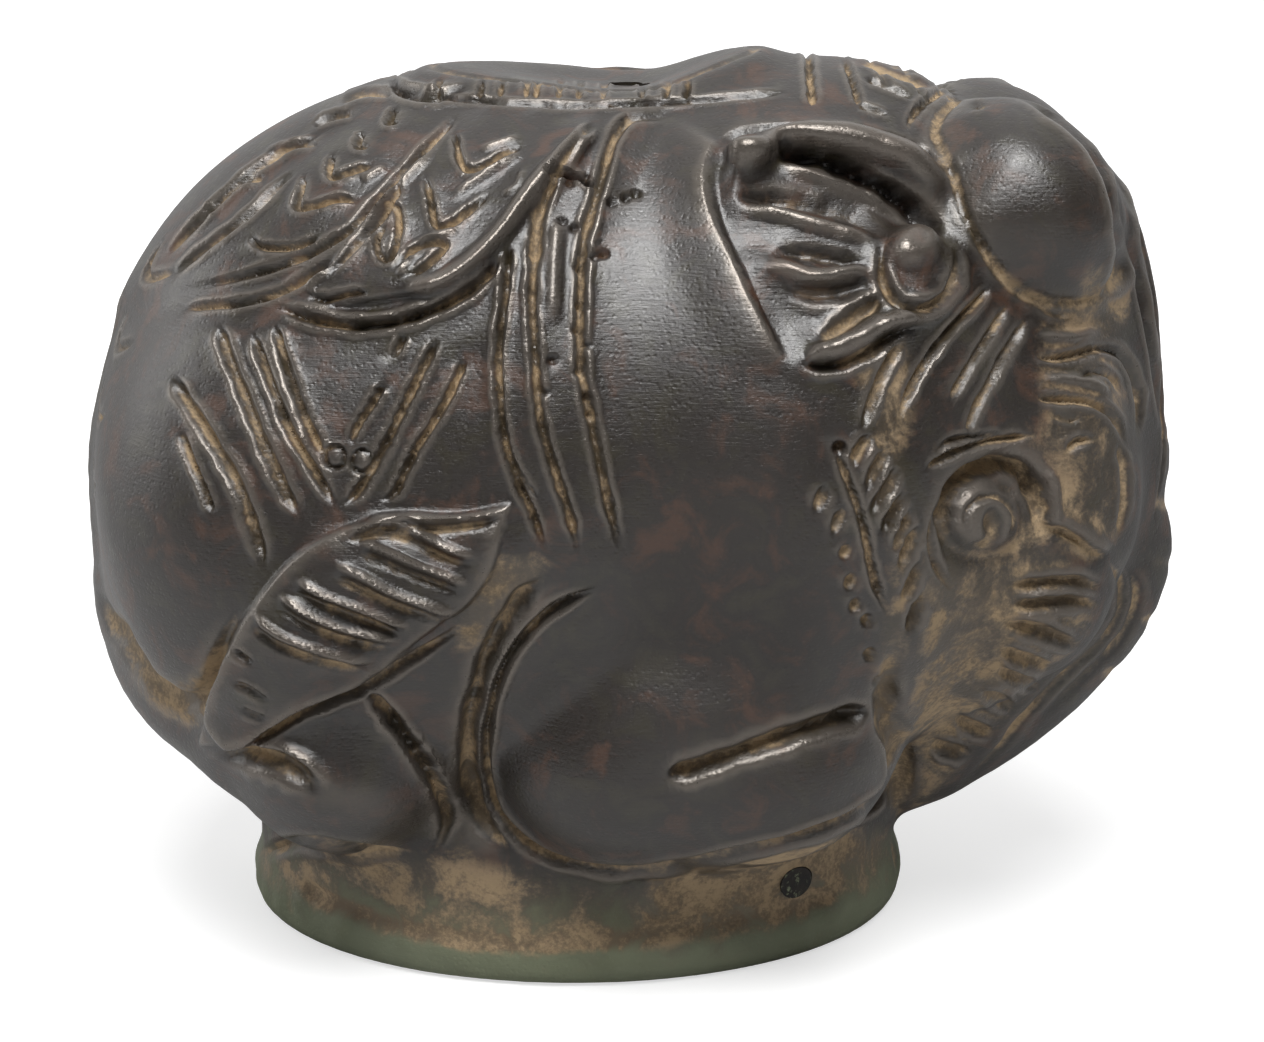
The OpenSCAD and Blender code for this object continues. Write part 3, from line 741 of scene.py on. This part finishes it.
dusted([(255, 845), (420, 855), (520, 868), (640, 885), (780, 862), (880, 830), (880, 885),
        (780, 925), (640, 945), (500, 950), (380, 935), (280, 890)], 0.55, 30)
dusted([(480, 560), (545, 560), (520, 610), (485, 650), (455, 640)], 0.7, 24)
dusted([(460, 700), (485, 690), (480, 840), (455, 860), (440, 800)], 0.4, 20)

# %% Foot
dusted([(650, 872), (760, 856), (850, 830), (885, 830), (880, 870), (800, 905), (700, 930),
        (640, 935)], 0.85, 30)
groove([(290, 880), (340, 905), (400, 927), (470, 941), (550, 944), (640, 938), (700, 929),
        (780, 911), (850, 888)], 17, 0.3, (0.05, 0.05), 1.6, burr=0.1)

# %% [markdown]
# ## Front, back and seat
# These sides don't show in the picture. They get what the picture leads to: the ridge and
# wrinkles of the brow carried round to the other side, the rings at the root of the tail,
# and the flat seat inside its rim.

# %% Front of the trunk and the back of the rump
for z in (18, 22, 26.5, 31, 36):
    groove([(0, z - 0.6), (2.5, z), (5, z + 1.2)], 1.6, 0.1, (0, 0.4), 0.4, 0, view=FRONT)
ridge([(0, 38), (0, 35), (0, 31)], 12, 0.35, (0.4, 0.4), view=FRONT)
groove([(1.6, 58), (1.7, 50), (2.2, 43), (3.2, 36), (4.4, 28)], 0.8, 0.3, (0.2, 0.3), 0.3,
       view=FRONT)
for z in (30, 33, 36, 39, 42, 45):
    groove([(-2.4, z), (0, z - 0.7), (2.4, z)], 0.8, 0.3, (0.3, 0.3), 0.5, view=REAR)
for side in (-1, 1):
    groove([(side * 3, 48), (side * 2.8, 40), (side * 2.6, 30), (side * 2.2, 24)],
           0.9, 0.4, (0.1, 0.3), 0.6, view=REAR)
    for z in (34, 39, 44, 49):
        groove([(side * 6, z + 2.6), (side * 8, z), (side * 12, z + 1.2)], 0.8, 0.35,
               (0.2, 0.3), 0.7, view=REAR)

# %% Seat
SEAT_MIDDLE = (-2.5, 0.0)
seat_line = [
    (SEAT_MIDDLE[0] + 11.5 * math.cos(a), 6.6 * math.sin(a)) for a in np.linspace(0, math.pi, 15)
]
groove(seat_line, 1.2, 0.2, (0, 0), 0.4, 0, view=TOP)
for x in (17, 19.5, 22):
    groove([(x, 0), (x + 0.4, 3), (x + 1.4, 6)], 0.7, 0.25, (0, 0.3), 0.6, view=TOP)

# %% [markdown]
# ## Finishing the wax
# A cast skin is never quite even. A slow swell and a fine grain are added, the strokes
# are carried out, and the places that rub against hands and the hollows that hold dust
# are measured from the finished shape.


# %% The mean of a point and its neighbours
edges = np.empty(len(elephant.data.edges) * 2, np.int64)
elephant.data.edges.foreach_get("vertices", edges)
first, second = edges.reshape(-1, 2).T
degree = np.bincount(np.concatenate([first, second]), minlength=len(place)).astype(float)


def spread(values, times):
    """Each value becomes the mean of its neighbours', again and again."""
    for _ in range(times):
        total = np.bincount(first, values[second], len(place))
        total += np.bincount(second, values[first], len(place))
        values = 0.5 * values + 0.5 * total / degree
    return values


PER_LEVEL = 4
STROKE_SOFTENING = 1
STROKE_FORCE = 1.25
print("neighbours of a point:", round(float(degree.mean()), 2))


# %% Slow swell and grain of the cast skin
def waves(points, size, seed, count=24):
    """A smooth random height between about -1 and 1, from a sum of waves."""
    draw = np.random.default_rng(seed)
    total = np.zeros(len(points))
    for _ in range(count):
        way = draw.normal(size=3)
        way /= np.linalg.norm(way)
        total += np.cos(
            points @ way * math.tau / (size * draw.uniform(0.7, 1.5)) + draw.uniform(0, math.tau)
        )
    return total / math.sqrt(count)


rough = ease((waves(place, 26, 11) + 0.4) / 1.2) * ease((44 - place[:, 2]) / 20 + 0.25)
swell = 0.05 * waves(place, 9, 3) + 0.02 * rough * waves(place, 2.6, 5)
# Hands don't reach into the face, so it stays dull
face = ease((SIDE[0][:, 0] - 890) / 90) * ease((SIDE[0][:, 1] - 350) / 110)
rough = np.maximum(rough, 0.9 * face)
edge_chips = 0.1 * ease((5 - place[:, 2]) / 2) * waves(place, 3.2, 9)

# The underside stays nearly flat, so that the dropper stands firm
BURIED = ease((1.5 - place[:, 2]) / 1.2)
lift = spread(STROKE_FORCE * (rise + cut), STROKE_SOFTENING)
lift += swell + edge_chips * (1 - BURIED)
lift *= 1 - 0.9 * BURIED * ease(-normal[:, 2] / 0.5)
sculpted = place + normal * lift[:, None]
sculpted[:, 2] = np.maximum(sculpted[:, 2], 0)
set_corners(elephant, sculpted)
print("moved out up to", round(lift.max(), 2), "mm and in up to", round(-lift.min(), 2), "mm")

# %% Hollows and worn places, from the finished shape
height = np.sum((sculpted - place) * normal, 1)
fine_level = spread(height, 6 * PER_LEVEL)
wide_level = spread(height, 60 * PER_LEVEL)
hollow = ease((fine_level - height) / 0.16) * 0.7 + ease((wide_level - height) / 0.5) * 0.6
worn = ease((height - fine_level) / 0.16) * 0.7 + ease((height - wide_level) / 0.55) * 0.6
dust = spread(dust, PER_LEVEL)
print("dusty share", round(float((dust > 0.5).mean()), 3))

# %% Lighten the net, and cut the holes and the seat of the base plate
MOST_TRIANGLES = 197000
KEPT_TRIANGLES = 190000
triangles = 2 * len(elephant.data.polygons)
if triangles > MOST_TRIANGLES:
    modify(elephant, "DECIMATE", ratio=KEPT_TRIANGLES / triangles)
print("triangles:", sum(len(p.vertices) - 2 for p in elephant.data.polygons))

PLATE_GAP = 0.1
pocket_r = PLATE_HALF.x + PLATE_GAP
pocket_squash = (PLATE_HALF.y + PLATE_GAP) / pocket_r
pin_lo, pin_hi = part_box("core_plugs")
pin_middle = (pin_lo + pin_hi) / 2 / MM
cutters = [
    bar(pocket_r, 4, (PLATE_X, 0, plate_hi.z / MM - 2), UP, squash=pocket_squash),
    bar(SEAT_HOLE_R, 20, Vector(CORE) + UP * SEAT_REACH, UP),
    bar(BROW_HOLE_R, 20, Vector(CORE) + POUR_WAY * BROW_REACH, POUR_WAY),
    bar(PIN_HOLE_R, 60, pin_middle, Vector((0, 1, 0))),
]
for tool in cutters:
    modify(elephant, "BOOLEAN", object=tool, operation="DIFFERENCE", solver="EXACT")
    bpy.data.objects.remove(tool)
print("after the holes:", sum(len(p.vertices) - 2 for p in elephant.data.polygons), "triangles")

# %% Masks on the final net
tree = kdtree.KDTree(len(sculpted))
for index, point in enumerate(sculpted):
    tree.insert(point, index)
tree.balance()
final = corners(elephant)
nearest = np.array([tree.find(point)[1] for point in final])
for name, values in (("dust", dust), ("hollow", hollow), ("worn", worn), ("rough", rough)):
    mask = elephant.data.attributes.new(name, "FLOAT", "POINT")
    mask.data.foreach_set("value", np.clip(values[nearest], 0, 1).astype(np.float32))
only(elephant)
bpy.ops.object.shade_smooth_by_angle(angle=math.radians(50))
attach(elephant, "root")
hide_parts("body_casting")

# %% [markdown]
# ## Old metal
# All four metals of the dropper share the same age: mottled patina, fine pits, dust and
# green corrosion. One node group makes the masks for it, and each material gives them its
# own colours. Shaders stay in the materials, so that the group holds nothing but values.


# %% Helpers for nodes
def feed(tree, socket, value):
    """Links a socket to another one, or gives it a plain value."""
    if isinstance(value, bpy.types.NodeSocket):
        tree.links.new(value, socket)
    else:
        socket.default_value = value


def add(tree, kind, *values, **settings):
    """A node with its settings; values go into its inputs in turn, and sockets are linked."""
    made = tree.nodes.new(kind)
    inputs = settings.pop("inputs", {})
    for name, value in settings.items():
        setattr(made, name, value)
    for socket, value in zip(made.inputs, values):
        feed(tree, socket, value)
    for name, value in inputs.items():
        feed(tree, made.inputs[name], value)
    return made


def math_node(tree, operation, *values):
    return add(tree, "ShaderNodeMath", *values, operation=operation).outputs[0]


def plus(tree, one, other):
    return math_node(tree, "ADD", one, other)


def times(tree, one, other):
    return math_node(tree, "MULTIPLY", one, other)


def blend(tree, share, one, other):
    """Mixes two colours, each a socket or four numbers."""
    made = tree.nodes.new("ShaderNodeMix")
    made.data_type = "RGBA"
    for index, value in ((0, share), (6, one), (7, other)):
        feed(tree, made.inputs[index], value)
    return made.outputs[2]


def limits(tree, value, low, high):
    """Stretches low..high to 0..1."""
    made = add(tree, "ShaderNodeMapRange", value, low, high, 0.0, 1.0, clamp=True)
    made.interpolation_type = "SMOOTHSTEP"
    return made.outputs[0]


# %% The group of masks for old metal
MASKS = ("Mottle", "Speckle", "Grain", "Scratches", "Low")


def old_metal_group():
    group = bpy.data.node_groups.new("old_metal", "ShaderNodeTree")
    for name, value in (("Size of mottle", 300.0), ("Size of pits", 2600.0)):
        socket = group.interface.new_socket(name, in_out="INPUT", socket_type="NodeSocketFloat")
        socket.default_value = value
    for name in MASKS:
        group.interface.new_socket(name, in_out="OUTPUT", socket_type="NodeSocketFloat")
    given = group.nodes.new("NodeGroupInput")
    result = group.nodes.new("NodeGroupOutput")
    where = add(group, "ShaderNodeTexCoord").outputs["Object"]
    mottle = add(group, "ShaderNodeTexNoise",
                 inputs={"Vector": where, "Scale": given.outputs[0], "Detail": 6.0,
                         "Roughness": 0.62, "Distortion": 0.6}).outputs[0]
    speckle = add(group, "ShaderNodeTexNoise",
                  inputs={"Vector": where, "Scale": given.outputs[1], "Detail": 3.0,
                          "Roughness": 0.7}).outputs[0]
    pits = add(group, "ShaderNodeTexVoronoi",
               inputs={"Vector": where, "Scale": given.outputs[1], "Randomness": 1.0}).outputs[0]
    pits = limits(group, pits, 0.0, 0.5)
    grain = plus(group, times(group, speckle, 0.6), times(group, pits, 0.4))
    slanted = add(group, "ShaderNodeMapping",
                  inputs={"Vector": where, "Rotation": (0.0, math.radians(38), 0.0),
                          "Scale": (1.0, 1.0, 14.0)}).outputs[0]
    scratches = add(group, "ShaderNodeTexNoise",
                    inputs={"Vector": slanted, "Scale": 420.0, "Detail": 4.0,
                            "Roughness": 0.8}).outputs[0]
    heights = add(group, "ShaderNodeSeparateXYZ", where).outputs[2]
    raised = plus(group, heights, times(group, mottle, 0.01))
    low = math_node(group, "SUBTRACT", 1.0, limits(group, raised, 0.007, 0.0125))
    for index, value in enumerate((mottle, speckle, grain, scratches, low)):
        group.links.new(value, result.inputs[index])
    return group


OLD_METAL = old_metal_group()


def metal(name, slot_colour):
    """An empty material with the group and a shader; the colour is what a viewport shows."""
    made = bpy.data.materials.new(name)
    made.use_nodes = True
    made.diffuse_color = slot_colour
    tree = made.node_tree
    shader = tree.nodes["Principled BSDF"]
    masks = add(tree, "ShaderNodeGroup", node_tree=OLD_METAL)
    return made, tree, shader, masks.outputs


# %% [markdown]
# ## Bronze
# The patina is nearly black, with a reddish brown where it is thin. Hands have polished
# the high places to a soft gloss, while dust has dried in the cuts and green has grown on
# the foot. So four masks that were measured on the skin meet the masks of old metal.

# %% Bronze
PATINA_DARK = (0.0115, 0.007, 0.0042, 1)
PATINA_OLIVE = (0.021, 0.016, 0.0065, 1)
PATINA_BROWN = (0.05, 0.021, 0.0095, 1)
PATINA_WORN = (0.2, 0.175, 0.15, 1)
OCHRE = (0.15, 0.108, 0.064, 1)
OCHRE_PALE = (0.35, 0.25, 0.14, 1)
VERDIGRIS = (0.21, 0.235, 0.145, 1)
PIT_DEPTH = 0.00008


def roughen(tree, shader, pits, strength, depth):
    """Pits and grain as a bump, depth in metres."""
    pits = {"Strength": strength, "Distance": depth, "Height": pits}
    feed(tree, shader.inputs["Normal"], add(tree, "ShaderNodeBump", inputs=pits).outputs[0])


def measured(tree, name):
    """A mask that was measured on the skin."""
    return add(tree, "ShaderNodeAttribute", attribute_name=name).outputs["Fac"]


def bronze_material():
    made, tree, shader, masks = metal("bronze", (0.06, 0.05, 0.04, 1))
    mottle, speckle, grain, scratches, low = (masks[name] for name in MASKS)
    dusty, hollow, worn, rough = (measured(tree, n) for n in ("dust", "hollow", "worn", "rough"))
    base = blend(tree, limits(tree, mottle, 0.5, 0.32), PATINA_DARK, PATINA_OLIVE)
    base = blend(tree, limits(tree, mottle, 0.5, 0.68), base, PATINA_BROWN)
    base = blend(tree, times(tree, worn, 0.7), base, PATINA_WORN)
    caught = times(tree, hollow, plus(tree, 0.12, rough))
    amount = plus(tree, times(tree, dusty, 0.9), times(tree, caught, 0.5))
    amount = math_node(tree, "SUBTRACT", amount, times(tree, worn, 0.4))
    patchy = plus(tree, 0.65, times(tree, limits(tree, mottle, 0.36, 0.64), 0.8))
    broken = plus(tree, times(tree, amount, patchy), times(tree, speckle, 0.22))
    settled = limits(tree, broken, 0.2, 0.95)
    crumbs = plus(tree, mottle, times(tree, speckle, 0.5))
    ochre = blend(tree, limits(tree, crumbs, 0.66, 0.92), OCHRE, OCHRE_PALE)
    base = blend(tree, times(tree, low, 0.8), base, VERDIGRIS)
    base = blend(tree, settled, base, ochre)
    tree.links.new(base, shader.inputs["Base Color"])
    gloss = 0.21
    for mask, share in ((grain, 0.16), (mottle, 0.16), (rough, 0.2), (low, 0.35)):
        gloss = plus(tree, gloss, times(tree, mask, share))
    gloss = math_node(tree, "SUBTRACT", gloss, times(tree, worn, 0.1))
    dull = times(tree, settled, 0.85)
    tree.links.new(math_node(tree, "MAXIMUM", gloss, dull), shader.inputs["Roughness"])
    tree.links.new(times(tree, worn, 0.6), shader.inputs["Metallic"])
    pitted = times(tree, grain, plus(tree, 0.45, times(tree, rough, 0.4)))
    scored = plus(tree, pitted, times(tree, scratches, 0.4))
    shader.inputs["Specular IOR Level"].default_value = 0.9
    roughen(tree, shader, scored, 1.0, PIT_DEPTH)
    return made


def wear_material(piece, made):
    piece.data.materials.clear()
    piece.data.materials.append(made)


wear_material(elephant, bronze_material())
print("bronze on", elephant.name)

# %% [markdown]
# ## Base plate, solder and plugs
# The sheet that closes the water chamber is rolled brass, dull and green. The seam of
# solder round it has tarnished grey, and the plugs of the core pin are darker bronze.


# %% Plate, solder and plugs
def plain_metal(name, dark, light, gloss, metallic, pit_depth):
    made, tree, shader, masks = metal(name, light)
    colour = blend(tree, limits(tree, masks["Mottle"], 0.35, 0.65), dark, light)
    colour = blend(tree, limits(tree, masks["Speckle"], 0.55, 0.75), colour, VERDIGRIS)
    tree.links.new(colour, shader.inputs["Base Color"])
    roughness = plus(tree, gloss, times(tree, masks["Grain"], 0.25))
    tree.links.new(roughness, shader.inputs["Roughness"])
    shader.inputs["Metallic"].default_value = metallic
    roughen(tree, shader, masks["Grain"], 0.5, pit_depth)
    return made


FINISHES = {
    "base_plate": ("plate", (0.03, 0.022, 0.012, 1), (0.1, 0.07, 0.035, 1), 0.45, 0.6, 0.0001),
    "solder_seam": ("solder", (0.07, 0.066, 0.06, 1), (0.16, 0.15, 0.135, 1), 0.5, 0.7, 0.0001),
    "core_plugs": ("plug", (0.006, 0.005, 0.0045, 1), (0.02, 0.014, 0.01, 1), 0.4, 0.3, 0.00006),
}
for node, (slot_name, *finish) in FINISHES.items():
    wear_material(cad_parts[node], plain_metal(slot_name + "_metal", *finish))

# %% [markdown]
# ## Table and light
# The picture has a plain white ground and a soft light from above, with bright walls all
# round that give the dark metal its grey edges.

# %% Floor
bpy.ops.object.select_all(action="DESELECT")
bpy.ops.mesh.primitive_plane_add(size=3)
table_top = bpy.context.object
table_top.name = "table_top"
paper = bpy.data.materials.new("white_paper")
paper.use_nodes = True
tree = paper.node_tree
shader = tree.nodes["Principled BSDF"]
where = add(tree, "ShaderNodeTexCoord").outputs["Object"]
grain = add(tree, "ShaderNodeTexNoise", inputs={"Vector": where, "Scale": 60.0}).outputs[0]
fibres = limits(tree, grain, 0.3, 0.7)
paper_colour = blend(tree, fibres, (0.5, 0.5, 0.5, 1), (0.53, 0.53, 0.53, 1))
tree.links.new(paper_colour, shader.inputs["Base Color"])
shader.inputs["Roughness"].default_value = 0.9
# The camera sees the paper white, more so far from the dropper, where the lamps fade
far_off = add(tree, "ShaderNodeVectorMath", where, operation="LENGTH").outputs["Value"]
glow = blend(tree, limits(tree, far_off, 0.04, 0.3), (0.62, 0.62, 0.62, 1), (1, 1, 1, 1))
seen_straight = add(tree, "ShaderNodeLightPath").outputs["Is Camera Ray"]
glow = blend(tree, seen_straight, (0, 0, 0, 1), glow)
tree.links.new(glow, shader.inputs["Emission Color"])
shader.inputs["Emission Strength"].default_value = 1
wear_material(table_top, paper)

# %% Lights
world = bpy.data.worlds.new("studio")
bpy.context.scene.world = world
world.use_nodes = True
air = world.node_tree
sky = air.nodes["Background"]
path = air.nodes.new("ShaderNodeLightPath")
# Bright walls behind the dropper and a dark room on the camera's side
way = add(air, "ShaderNodeTexCoord").outputs["Generated"]
way = add(air, "ShaderNodeSeparateXYZ", way).outputs
DARK_ROOM = 0.03
WALLS = 0.7
CEILING = 0.3
walls = times(air, limits(air, way[1], -0.1, 0.8), WALLS)
ceiling = times(air, limits(air, way[2], 0.2, 0.9), CEILING)
room = plus(air, plus(air, DARK_ROOM, walls), ceiling)
sky.inputs["Color"].default_value = (1, 1, 1, 1)
strength = math_node(air, "MAXIMUM", path.outputs["Is Camera Ray"], room)
air.links.new(strength, sky.inputs["Strength"])


def softbox(name, place_at, size, power):
    """A square lamp that points at the dropper."""
    lamp = bpy.data.objects.new(name, bpy.data.lights.new(name, "AREA"))
    bpy.context.scene.collection.objects.link(lamp)
    lamp.data.shape = "RECTANGLE"
    lamp.data.size, lamp.data.size_y = size
    lamp.data.energy = power
    lamp.location = place_at
    aim = Vector((0, 0, 0.03)) - lamp.location
    lamp.rotation_euler = aim.to_track_quat("-Z", "Y").to_euler()
    return lamp


softbox("overhead", (0.0, -0.2, 0.45), (0.27, 0.2), 2.6)
softbox("left_wall", (-0.5, 0.1, 0.2), (0.3, 0.3), 0.7)
bpy.context.scene.view_settings.view_transform = "Standard"
